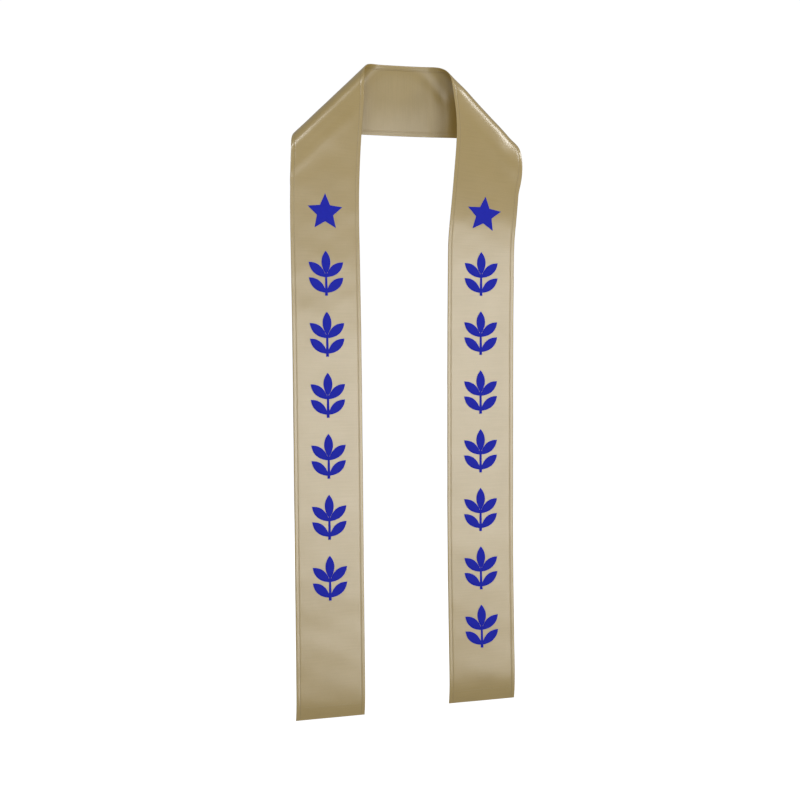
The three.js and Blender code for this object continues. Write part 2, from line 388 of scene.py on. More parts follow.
def linear(hex_colour: str) -> tuple[float, float, float, float]:
    """An sRGB hex colour as linear red, green, blue and an alpha of 1."""
    parts = [int(hex_colour[i : i + 2], 16) / 255 for i in (1, 3, 5)]
    light = [c / 12.92 if c <= 0.04045 else ((c + 0.055) / 1.055) ** 2.4 for c in parts]
    return (*light, 1.0)


def add_node(
    tree: NodeTree,
    kind: str,
    settings: dict | None = None,
    inputs: dict | None = None,
) -> Node:
    """Adds a node, sets its properties, and fills its inputs.

    Args:
        tree: The material's node tree.
        kind: The node's type name.
        settings: Properties of the node by name.
        inputs: By name or number, values or the output sockets to link from.

    Returns:
        The new node.
    """
    node = tree.nodes.new(kind)
    for name, value in (settings or {}).items():
        setattr(node, name, value)
    for name, value in (inputs or {}).items():
        if isinstance(value, NodeSocket):
            tree.links.new(value, node.inputs[name])
        else:
            node.inputs[name].default_value = value
    return node


def maths(tree: NodeTree, operation: str, *values: NodeSocket | float) -> NodeSocket:
    """The result of a math node on values or sockets."""
    inputs = dict(enumerate(values))
    return add_node(tree, "ShaderNodeMath", {"operation": operation}, inputs).outputs["Value"]


def ranged(
    tree: NodeTree,
    value: NodeSocket,
    source: tuple[float, float],
    target: tuple[float, float],
    way: str = "LINEAR",
) -> NodeSocket:
    """A value mapped from the source range to the target range, and kept inside it."""
    inputs = {"Value": value, 1: source[0], 2: source[1], 3: target[0], 4: target[1]}
    node = add_node(tree, "ShaderNodeMapRange", {"interpolation_type": way}, inputs)
    return node.outputs["Result"]


def mixed(
    tree: NodeTree,
    way: str,
    factor: NodeSocket,
    first: NodeSocket,
    second: str,
) -> NodeSocket:
    """A colour mixed with a second, given in hex, by a blend type and a factor."""
    settings = {"data_type": "RGBA", "blend_type": way}
    inputs = {0: factor, 6: first, 7: linear(second)}
    return add_node(tree, "ShaderNodeMix", settings, inputs).outputs[2]


def bumped(tree: NodeTree, height: NodeSocket, strength: float, distance: float) -> NodeSocket:
    """The normal of a surface with fine relief."""
    inputs = {"Strength": strength, "Distance": distance, "Height": height}
    return add_node(tree, "ShaderNodeBump", inputs=inputs).outputs["Normal"]


def ramp(tree: NodeTree, factor: NodeSocket, *stops: tuple[float, str]) -> NodeSocket:
    """A colour ramp with stops of place and hex colour, and its colour output."""
    node = add_node(tree, "ShaderNodeValToRGB", inputs={"Fac": factor})
    elements = node.color_ramp.elements
    while len(elements) < len(stops):
        elements.new(0.5)
    for element, (place, colour) in zip(elements, stops):
        element.position = place
        element.color = linear(colour)
    return node.outputs["Color"]


def flat_place(tree: NodeTree) -> NodeSocket:
    """The cloth's own flat place (x, t), in metres."""
    return add_node(tree, "ShaderNodeUVMap", {"uv_map": CLOTH_UV}).outputs["UV"]


def noise(
    tree: NodeTree,
    flat: NodeSocket,
    along: float,
    across: float,
    detail: float,
) -> NodeSocket:
    """Noise whose grains have these lengths along and across the band, in metres."""
    stretched = add_node(
        tree,
        "ShaderNodeMapping",
        inputs={"Vector": flat, "Scale": (1 / along, 1 / across, 1.0)},
    ).outputs["Vector"]
    return add_node(
        tree,
        "ShaderNodeTexNoise",
        {"noise_dimensions": "2D"},
        {"Vector": stretched, "Scale": 1.0, "Detail": detail, "Roughness": 0.55},
    ).outputs["Fac"]


def blend(tree: NodeTree, *parts: tuple[NodeSocket, float]) -> NodeSocket:
    """The sum of values times their shares."""
    total: NodeSocket | float = 0.0
    for value, share in parts:
        total = maths(tree, "MULTIPLY_ADD", value, share, total)
    return total


def edge_distance(tree: NodeTree, flat: NodeSocket) -> NodeSocket:
    """How far a place is from the nearer long edge: half the width less the size of t."""
    parts = add_node(tree, "ShaderNodeSeparateXYZ", inputs={"Vector": flat})
    return maths(tree, "SUBTRACT", BAND_WIDTH / 2, maths(tree, "ABSOLUTE", parts.outputs["Y"]))


def diagonal_wave(tree: NodeTree, inputs: dict) -> NodeSocket:
    """A pattern of slanting waves, from 0 to 1."""
    settings = {"wave_type": "BANDS", "bands_direction": "DIAGONAL"}
    return add_node(tree, "ShaderNodeTexWave", settings, inputs).outputs["Fac"]


def fresh_material(name: str) -> tuple[Material, NodeTree]:
    """A new material with an empty node tree."""
    material = bpy.data.materials.new(name)
    material.use_nodes = True
    material.node_tree.nodes.clear()
    return material, material.node_tree


def surface_of(tree: NodeTree, inputs: dict) -> None:
    """Ends a tree with a Principled shader that has these inputs."""
    shader = add_node(tree, "ShaderNodeBsdfPrincipled", inputs=inputs)
    add_node(tree, "ShaderNodeOutputMaterial", inputs={"Surface": shader.outputs["BSDF"]})


@dataclass(frozen=True)
class SatinFinish:
    """Polyester satin, woven with long floats and pressed.

    The long floats give a broad soft sheen and faint streaks across the band, where weft
    threads are a little thicker. The turned edges are pressed paler along their fold, and a
    fine line of painted shade darkens the cloth over the groove of the row of stitches.
    """

    name: str
    dark: str
    middle: str
    light: str
    roughness: float
    gloss_roughness: float
    gloss: float  # the clear layer that the long floats make
    bump: float
    pressed: float = 0.15  # how far the folded edge goes towards the light tone
    # painted shade along the groove of the row of stitches
    painted_seam_shade: str = "#F6F4EE"

    def material(self) -> Material:
        """The finish as a material that reads the cloth's own flat places, in metres."""
        material, tree = fresh_material(self.name)
        flat = flat_place(tree)
        streaks = noise(tree, flat, along=1.6 * MM, across=42 * MM, detail=3.0)
        cloudy = noise(tree, flat, along=70 * MM, across=45 * MM, detail=2.0)
        # Real floats lie 0.1 mm apart, too fine to show: they are drawn at 0.7 mm.
        floats = noise(tree, flat, along=7 * MM, across=0.7 * MM, detail=2.0)
        tone = blend(tree, (streaks, 0.45), (cloudy, 0.35), (floats, 0.2))
        weave = maths(tree, "MULTIPLY_ADD", streaks, 0.6, floats)
        sheen = (self.roughness + 0.04, self.roughness - 0.04)
        surface_of(
            tree,
            {
                "Base Color": self.colour(tree, flat, tone),
                "Roughness": ranged(tree, tone, (0.3, 0.7), sheen),
                "Normal": bumped(tree, weave, self.bump, 0.12 * MM),
                "IOR": 1.5,
                "Specular IOR Level": 1.0,
                "Coat Weight": self.gloss,
                "Coat IOR": 2.0,
                "Coat Roughness": self.gloss_roughness,
            },
        )
        return material

    def colour(self, tree: NodeTree, flat: NodeSocket, tone: NodeSocket) -> NodeSocket:
        """The cloth's tones: paler on the folded edge, painted shade on the stitching's groove."""
        cloth = ramp(tree, tone, (0.3, self.dark), (0.5, self.middle), (0.7, self.light))
        edge = edge_distance(tree, flat)
        fold = ranged(tree, edge, (0.0, HemLayout.tucked), (self.pressed, 0.0), "SMOOTHSTEP")
        pale = mixed(tree, "MIX", fold, cloth, self.light)
        inset, reach = HemLayout.stitch_inset, HemLayout.seam_reach
        # Painted shade: the groove of the row of stitches is darkened; the groove itself is real
        # relief.
        seam = maths(tree, "COMPARE", edge, inset, reach)
        return mixed(tree, "MULTIPLY", seam, pale, self.painted_seam_shade)


@dataclass(frozen=True)
class ThreadFinish:
    """Spun polyester sewing thread, in a greyer gold than the cloth."""

    name: str = "sewing_thread_spun_polyester"
    colour: str = "#CDBB92"
    # painted shade for the grooves of the twist
    painted_twist_shade: str = "#B3A27A"

    def material(self) -> Material:
        """The finish as a material, with painted shade in the grooves of the twist."""
        material, tree = fresh_material(self.name)
        flat = flat_place(tree)
        twist = diagonal_wave(tree, {"Vector": flat, "Scale": 900.0, "Distortion": 0.4})
        colour = ramp(tree, twist, (0.2, self.painted_twist_shade), (0.7, self.colour))
        surface_of(tree, {"Base Color": colour, "Roughness": 0.42, "Sheen Weight": 0.2})
        return material


@dataclass(frozen=True)
class FilmFinish:
    """Heat-pressed twill film in royal blue: matt, with a fine diagonal twill."""

    name: str = "royal_blue_pressed_twill"
    colour: str = "#0B1BC6"
    light: str = "#1223D0"

    def material(self) -> Material:
        """The finish as a material. Real twill lines are 0.3 mm apart, drawn here at 1.2 mm."""
        material, tree = fresh_material(self.name)
        flat = flat_place(tree)
        scale = 0.31 / (1.2 * MM)
        lines = {"Vector": flat, "Scale": scale, "Distortion": 0.6, "Detail": 1.0}
        twill = diagonal_wave(tree, lines)
        grain = noise(tree, flat, along=5 * MM, across=5 * MM, detail=3.0)
        tone = blend(tree, (twill, 0.35), (grain, 0.65))
        surface_of(
            tree,
            {
                "Base Color": ramp(tree, tone, (0.25, self.colour), (0.75, self.light)),
                "Roughness": 0.62,
                "Normal": bumped(tree, tone, 0.35, 0.1 * MM),
                "Specular IOR Level": 0.35,
                "Sheen Weight": 0.08,
            },
        )
        return material


@dataclass(frozen=True)
class PaperFinish:
    """Seamless studio paper: white, matt, very slightly mottled, and lit from behind."""

    name: str = "seamless_studio_paper"
    glow: float = 0.7

    def material(self) -> Material:
        """The finish as a material."""
        material, tree = fresh_material(self.name)
        place = add_node(tree, "ShaderNodeTexCoord").outputs["Object"]
        mottle = add_node(
            tree, "ShaderNodeTexNoise", inputs={"Vector": place, "Scale": 1.5, "Detail": 2.0}
        ).outputs["Fac"]
        surface_of(
            tree,
            {
                "Base Color": ramp(tree, mottle, (0.3, "#F4F4F4"), (0.7, "#FAFAFA")),
                "Roughness": 0.9,
                "Specular IOR Level": 0.1,
                "Emission Color": linear("#FFFFFF"),
                "Emission Strength": self.glow,
            },
        )
        return material


# Meshes


def grid_faces(rows: int, columns: int, around: bool) -> list[list[int]]:
    """The quads of a grid of points, as corner numbers; `around` closes each row on itself."""
    spans = columns if around else columns - 1
    i = np.arange(rows - 1)[:, None] * columns
    j = np.arange(spans)[None, :]
    k = (j + 1) % columns
    quads = np.stack([i + j, i + k, i + columns + k, i + columns + j], axis=-1)
    return quads.reshape(-1, 4).tolist()


def add_object(name: str, data: ID) -> Object:
    """A new object in the scene that holds this data."""
    added = bpy.data.objects.new(name, data)
    bpy.context.scene.collection.objects.link(added)
    return added


def new_object(
    name: str,
    points: np.ndarray,
    faces: list[list[int]],
    flat: np.ndarray,
    materials: list[Material],
    face_materials: np.ndarray | None = None,
) -> Object:
    """A smooth-shaded object whose UV map holds the flat place of every point.

    Args:
        name: The object's name.
        points: Its points, one row each.
        faces: Corner numbers of every face.
        flat: The flat place (x, t) of every point, in metres.
        materials: Its material slots.
        face_materials: The slot number of every face, or None for the first slot.

    Returns:
        The object, with its place in its mesh.
    """
    mesh = bpy.data.meshes.new(name)
    mesh.from_pydata(points.reshape(-1, 3), [], faces)
    corners = np.empty(len(mesh.loops), dtype=np.int32)
    mesh.loops.foreach_get("vertex_index", corners)
    layer = mesh.uv_layers.new(name=CLOTH_UV)
    layer.data.foreach_set("uv", flat.reshape(-1, 2)[corners].astype(np.float32).ravel())
    mesh.polygons.foreach_set("use_smooth", np.ones(len(mesh.polygons), dtype=bool))
    for material in materials:
        mesh.materials.append(material)
    if face_materials is not None:
        mesh.polygons.foreach_set("material_index", face_materials.astype(np.int32))
    return add_object(name, mesh)


def weld(piece: Object, within: float = 1e-7) -> None:
    """Merges points that coincide, which closes the rows that were drawn to a line."""
    shape = bmesh.new()
    shape.from_mesh(piece.data)
    bmesh.ops.remove_doubles(shape, verts=shape.verts, dist=within)
    shape.to_mesh(piece.data)
    shape.free()
    piece.data.update()


def finish_piece(piece: Object, slot: str, *nodes: str) -> None:
    """Lets a piece ride on the stole's one body and stand for its nodes."""
    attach(piece, "root")
    if nodes:
        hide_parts(*nodes)
    log.info("%s: %d faces", piece.name, len(piece.data.polygons))


@dataclass(frozen=True)
class HemLayout:
    """The turned edges, in metres from the edge of the band."""

    side_hem: float = 7 * MM
    end_hem: float = 20 * MM
    end_clearance: float = 0.5 * MM  # between an end's turning and those of the long edges
    stitch_inset: float = 5.4 * MM
    end_stitch_inset: float = 17.5 * MM
    cloth: float = 0.6 * MM
    folded: float = 1.25 * MM
    fold_return: float = 1.6 * MM
    fold_fade: float = 0.8 * MM
    tucked: float = 1.3 * MM  # how far inside the folded edge a turning begins
    seam_reach: float = 0.55 * MM
    groove: float = 0.12 * MM
    puff: float = 0.09 * MM
    puff_rise: float = 1.5 * MM
    puff_stop: float = 3 * MM
    puff_fade: float = 2.2 * MM
    first_stitch: float = 4 * MM  # from a free end
    corner_stitch: float = 2 * MM  # from the seam of a long edge

    def thickness(self, edge: np.ndarray) -> np.ndarray:
        """The band's own thickness: one cloth, and the doubled one at the very edge."""
        doubled = 1 - ease((edge - self.fold_return) / self.fold_fade)
        return self.cloth + (self.folded - self.cloth) * doubled

    def seam_groove(self, edge: np.ndarray) -> np.ndarray:
        """How deep the row of stitches pulls the cloth in."""
        return self.groove * bell(edge - self.stitch_inset, self.seam_reach)

    def seam_relief(self, edge: np.ndarray) -> np.ndarray:
        """The face side's height at the hem: a pulled-in groove and a slight puff outside it."""
        fall = 1 - ease((edge - self.puff_stop) / self.puff_fade)
        return self.puff * ease(edge / self.puff_rise) * fall - self.seam_groove(edge)


def rounded_cut(
    flat: np.ndarray, low: float, high: float, nose: float, angles: np.ndarray
) -> tuple[np.ndarray, np.ndarray]:
    """A flat bar's closed cut with half-round edges: places across, and heights −1 to 1."""
    bulge = nose * np.cos(angles)
    across = np.concatenate([flat, high - nose + bulge, flat[::-1], low + nose - bulge])
    level = np.ones(len(flat))
    height = np.concatenate([level, np.sin(angles), -level, -np.sin(angles)])
    return across, height


@dataclass
class SatinBand:
    """The whole straight band: one closed thin shell with folded edges and ends."""

    strip: HangingStrip
    hems: HemLayout
    fold_row: float = 2.2 * MM
    panel_row: float = 3.6 * MM
    fold_reach: float = 80 * MM  # from the fold's middle, where the rows begin to lie wider
    end_reach: float = 8 * MM  # from a free end, where they lie closer again
    nose_steps: int = 6
    middle_columns: int = 20
    # Places in millimetres from where the rounding of a long edge, or of an end, begins
    near_edge: tuple[float, ...] = (0, 0.5, 1.2, 2.2, 3.2, 4, 4.4, 4.8, 5.2, 5.8, 6.6, 8.5, 11)
    near_end: tuple[float, ...] = (6.5, 5, 3.8, 2.8, 2, 1.4, 0.8, 0.3, 0)

    def stops_across(self) -> np.ndarray:
        """Places across the face side, close together at the hems."""
        right = BAND_WIDTH / 2 - self.hems.folded / 2 - np.array(self.near_edge) * MM
        middle = np.linspace(-right[-1], right[-1], self.middle_columns + 1)[1:-1]
        return np.concatenate([-right, middle, right[::-1]])

    def ring(self) -> tuple[np.ndarray, np.ndarray]:
        """The closed outline of a cut across the band, as places across and heights −1 to 1."""
        edge = BAND_WIDTH / 2
        angles = np.linspace(math.pi / 2, -math.pi / 2, self.nose_steps + 1)[1:-1]
        return rounded_cut(self.stops_across(), -edge, edge, self.hems.folded / 2, angles)

    def rows(self) -> tuple[np.ndarray, np.ndarray]:
        """Places along the band and how full the shell is there, 0 at its two ends."""
        halves = []
        for side in (Side.LEFT, Side.RIGHT):
            end = abs(self.strip.end(side))
            nose = self.hems.folded / 2
            fold_end = FOLD_AT + self.fold_reach
            angles = np.linspace(math.pi / 2, 0, self.nose_steps)[1:]
            flat = np.concatenate(
                [
                    np.arange(self.fold_row / 2, fold_end, self.fold_row),
                    np.arange(fold_end + self.panel_row / 2, end - self.end_reach, self.panel_row),
                    end - nose - np.array(self.near_end) * MM,
                ]
            )
            x = np.concatenate([flat, end - nose + nose * np.cos(angles)])
            full = np.concatenate([np.ones(len(flat)), np.sin(angles)])
            halves.append((side.value * x, full))
        (left, left_full), (right, right_full) = halves
        x = np.concatenate([left[::-1], right])
        return x, np.concatenate([left_full[::-1], right_full])

    def build(self, face: Material, wrong: Material) -> Object:
        """Makes the shell, with its face's finish on the folded edges as well."""
        x, full = self.rows()
        across, height = self.ring()
        x, t = np.meshgrid(x, across, indexing="ij")
        end = np.where(x < 0, abs(self.strip.end(Side.LEFT)), self.strip.end(Side.RIGHT))
        edge = np.minimum(BAND_WIDTH / 2 - np.abs(t), end - np.abs(x))
        half = self.hems.thickness(edge) / 2
        on_face = self.hems.seam_relief(BAND_WIDTH / 2 - np.abs(t)) * np.maximum(height, 0)
        lift = CLOTH - half + half * height * full[:, None] + on_face * full[:, None]
        points = self.strip.lay(x, t, lift)
        faces = grid_faces(*x.shape, around=True)
        behind = (height < -0.99) & (np.abs(across) < BAND_WIDTH / 2 - self.hems.fold_return)
        behind_faces = np.tile(behind & np.roll(behind, -1), x.shape[0] - 1)
        flat = np.stack([x, t], axis=-1)
        piece = new_object(
            "stole_cloth", points, faces, flat, [face, wrong], behind_faces.astype(int)
        )
        weld(piece)
        return piece


@dataclass
class TurnedHem:
    """A strip of the band's own edge, turned to the wearer's side and sewn flat."""

    strip: HangingStrip
    hems: HemLayout
    name: str
    start: float
    stop: float
    low: float
    high: float
    lowest: float = -0.05 * MM
    clearance: float = 0.02 * MM  # under the cloth that it is turned against
    column: float = 3.5 * MM
    row: float = 2.8 * MM
    fewest: int = 6  # columns or rows
    nose_steps: int = 6
    end_steps: int = 4

    def build(self, finish: Material) -> Object:
        """Makes the strip: a flat bar with round edges, carried along the band."""
        top = CLOTH - self.hems.cloth - self.clearance
        middle, half = (top + self.lowest) / 2, (top - self.lowest) / 2
        angles = np.linspace(math.pi / 2, -math.pi / 2, self.nose_steps + 1)
        columns = max(self.fewest, round((self.high - self.low) / self.column))
        flat_t = np.linspace(self.low + half, self.high - half, columns + 1)[1:-1]
        across, height = rounded_cut(flat_t, self.low, self.high, half, angles)
        rows = max(self.fewest, round((self.stop - self.start) / self.row))
        ends = np.linspace(math.pi / 2, 0, self.end_steps + 1)
        inner = np.linspace(self.start + half, self.stop - half, rows)
        x = np.concatenate(
            [
                (self.start + half - half * np.cos(ends))[::-1][:-1],
                inner,
                (self.stop - half + half * np.cos(ends))[1:],
            ]
        )
        full = np.concatenate([np.sin(ends)[::-1][:-1], np.ones(len(inner)), np.sin(ends)[1:]])
        x, t = np.meshgrid(x, across, indexing="ij")
        seam = self.hems.seam_groove(BAND_WIDTH / 2 - np.abs(t))
        lift = middle + half * height * full[:, None]
        lift = lift + np.where(height < 0, seam * full[:, None], 0.0)
        points = self.strip.lay(x, t, lift)
        flat = np.stack([x, t], axis=-1)
        piece = new_object(
            self.name, points, grid_faces(*x.shape, around=True), flat, [finish]
        )
        weld(piece)
        return piece


@dataclass
class StitchRow:
    """A row of lock stitches through the band and its hem, seen on both sides."""

    strip: HangingStrip
    hems: HemLayout
    pitch: float = 3.0 * MM
    length: float = 2.3 * MM
    thread: float = 0.42 * MM
    bury: float = 0.3  # how much of the thread's height lies in the cloth
    sides: int = 6
    shoulder_at: float = 0.78  # where a stitch narrows, as a share of its half length
    shoulder: float = 0.72  # how thick it is there, as a share of the thread

    def bead(self) -> tuple[np.ndarray, list[list[int]]]:
        """One stitch as a closed spindle: along, sideways and up, between −1 and 1."""
        sides = self.sides
        rings = np.array([-self.shoulder_at, 0.0, self.shoulder_at])
        radius = np.array([self.shoulder, 1.0, self.shoulder])
        turn = np.arange(sides) * 2 * math.pi / sides
        body = np.stack(
            [
                np.repeat(rings, sides),
                np.outer(radius, np.cos(turn)).ravel(),
                np.outer(radius, np.sin(turn)).ravel(),
            ],
            axis=-1,
        )
        points = np.vstack([[-1.0, 0, 0], body, [1.0, 0, 0]])
        faces = []
        last = 1 + sides * len(rings)
        for j in range(sides):
            k = (j + 1) % sides
            faces.append([0, 1 + k, 1 + j])
            faces.append([last, last - sides + j, last - sides + k])
            for i in range(len(rings) - 1):
                a, b = 1 + i * sides + j, 1 + i * sides + k
                faces.append([a, b, b + sides, a + sides])
        return points, faces

    def build(
        self, name: str, x: np.ndarray, t: np.ndarray, along: bool, thread: Material
    ) -> Object:
        """Lays a stitch at every place, on both sides of the cloth.

        Each stitch runs `along` the strip, or else across it.
        """
        bead, faces = self.bead()
        run = bead[:, 0] * self.length / 2
        wide = bead[:, 1] * self.thread / 2
        up = (bead[:, 2] * 0.5 + 0.5 - self.bury) * self.thread
        step_x, step_t = (run, wide) if along else (wide, run)
        every_x = x[:, None] + step_x[None, :]
        every_t = t[:, None] + step_t[None, :]
        over = np.broadcast_to(CLOTH - self.hems.groove + up, every_x.shape)
        under = np.broadcast_to(TurnedHem.lowest + self.hems.groove - up, every_x.shape)
        flat_x = np.concatenate([every_x, every_x])
        flat_t = np.concatenate([every_t, every_t])
        points = self.strip.lay(flat_x, flat_t, np.concatenate([over, under]))
        offsets = range(0, len(flat_x) * len(bead), len(bead))
        every_face = [[offset + corner for corner in face] for offset in offsets for face in faces]
        mesh_flat = np.stack([flat_x, flat_t], axis=-1)
        return new_object(name, points, every_face, mesh_flat, [thread])


# Emblems

INSIDE_ONLY = 1  # delaunay_2d_cdt: keep the triangles inside the outlines
SAME_POINT = 1e-6


@dataclass(frozen=True)
class EmblemShapes:
    """The flat outlines of the applied emblems, in metres, with +Y up the panel."""

    width: float = EMBLEM_WIDTH
    height: float = EMBLEM_HEIGHT
    star_points: int = 5
    star_waist: float = 0.47
    stem_width: float = 4 * MM
    leaf_width: float = 13 * MM
    leaf_lean: float = 50
    leaf_belly: float = 0.55
    curve_steps: int = 10

    @property
    def leaf_length(self) -> float:
        """A side leaf reaches half the emblem's width."""
        return self.width / 2 / math.sin(self.leaf_lean * DEGREE)

    def star(self) -> list[np.ndarray]:
        """A five-pointed star with one point upwards, as one outline."""
        radius = self.width / 2 / math.cos(18 * DEGREE)
        turn = 90 * DEGREE + np.arange(2 * self.star_points) * math.pi / self.star_points
        reach = np.where(np.arange(len(turn)) % 2 == 0, radius, radius * self.star_waist)
        return [np.stack([reach * np.cos(turn), reach * np.sin(turn)], axis=-1)]

    def leaf(self, foot: float, lean: float) -> np.ndarray:
        """A leaf outline: two quadratic curves from foot to tip, leaning from the stem."""
        u = np.linspace(0, 1, self.curve_steps + 1)[:, None]
        belly = np.array([self.leaf_width, self.leaf_length * self.leaf_belly])
        tip = np.array([0.0, self.leaf_length])
        right = 2 * u * (1 - u) * belly + u * u * tip
        left = (right * np.array([-1, 1]))[::-1][1:-1]
        outline = np.vstack([right, left])
        cosine, sine = math.cos(lean * DEGREE), math.sin(lean * DEGREE)
        rotation = np.array([[cosine, -sine], [sine, cosine]])
        return (outline @ rotation)[::-1] + np.array([0.0, foot])

    def sprig(self) -> list[np.ndarray]:
        """A stem, two pairs of leaves and a top leaf, as overlapping outlines."""
        foot = -self.height / 2
        top_leaf = self.height / 2 - self.leaf_length
        wide, narrow = self.stem_width / 2, self.stem_width / 3
        top = top_leaf + self.stem_width
        stem = np.array([[-wide, foot], [wide, foot], [narrow, top], [-narrow, top]])
        outlines = [stem, self.leaf(top_leaf, 0)]
        for pair in (foot + self.stem_width, top_leaf - self.stem_width):
            outlines.append(self.leaf(pair, self.leaf_lean))
            outlines.append(self.leaf(pair, -self.leaf_lean))
        return outlines


@dataclass
class Emblems:
    """The applied emblems of both panels, cut from film and pressed on the cloth."""

    strip: HangingStrip
    film: float = 0.35 * MM
    gap: float = 0.02 * MM
    rim: float = 0.1 * MM
    rim_angle: float = 50  # degrees: sharper edges than this are pressed round
    facet: float = 3.5 * MM
    left_sprigs: int = 6
    right_sprigs: int = 7

    def filled(self, outlines: list[np.ndarray]) -> tuple[np.ndarray, list[list[int]]]:
        """Triangles that fill the union of the outlines, with corners inside it as well."""
        reach = EMBLEM_HEIGHT / 2 + self.facet
        ticks = np.arange(-reach, reach, self.facet)
        inside = np.stack(np.meshgrid(ticks, ticks), axis=-1).reshape(-1, 2)
        corners = [Vector(p) for p in np.vstack([*outlines, inside])]
        faces, start = [], 0
        for outline in outlines:
            faces.append(list(range(start, start + len(outline))))
            start += len(outline)
        points, _, triangles, *_ = delaunay_2d_cdt(corners, [], faces, INSIDE_ONLY, SAME_POINT)
        return np.array([tuple(p) for p in points]), triangles

    def press(
        self,
        name: str,
        outlines: list[np.ndarray],
        side: Side,
        below: float,
        finish: Material,
    ) -> Object:
        """Presses one emblem on a panel, its middle `below` metres past the fold's middle."""
        flat, triangles = self.filled(outlines)
        used = sorted({corner for triangle in triangles for corner in triangle})
        number = {corner: i for i, corner in enumerate(used)}
        faces = [[number[c] for c in triangle] for triangle in triangles]
        flat = flat[used]
        x = side.value * (FOLD_AT + below - flat[:, 1])
        t = -side.value * flat[:, 0]
        points = self.strip.lay(x, t, np.full(len(x), CLOTH + self.gap))
        piece = new_object(name, points, faces, np.stack([x, t], axis=-1), [finish])
        solid = piece.modifiers.new("film", "SOLIDIFY")
        solid.thickness = self.film
        solid.offset = 1.0
        cut = piece.modifiers.new("pressed_rim", "BEVEL")
        cut.width = self.rim
        cut.segments = 1
        cut.limit_method = "ANGLE"
        cut.angle_limit = self.rim_angle * DEGREE
        return piece

    def build(self, finish: Material) -> list[Object]:
        """Presses a star and then the sprigs on each panel, and returns them all."""
        shapes = EmblemShapes()
        films = []
        for side, sprigs in ((Side.LEFT, self.left_sprigs), (Side.RIGHT, self.right_sprigs)):
            word = side.name.lower()
            star = self.press(f"{word}_star_film", shapes.star(), side, FIRST_EMBLEM, finish)
            finish_piece(star, "emblem_film", f"{word}_star")
            films.append(star)
            for i in range(1, sprigs + 1):
                sprig = self.press(
                    f"{word}_sprig_film_{i}",
                    shapes.sprig(),
                    side,
                    FIRST_EMBLEM + i * EMBLEM_PITCH,
                    finish,
                )
                finish_piece(sprig, "emblem_film", f"{word}_sprig_{i}")
                films.append(sprig)
        return films


# The studio


@dataclass(frozen=True)
class Softbox:
    """A soft studio light."""

    name: str
    place: tuple[float, float, float]
    aim: tuple[float, float, float]
    width: float
    height: float
    radiance: float


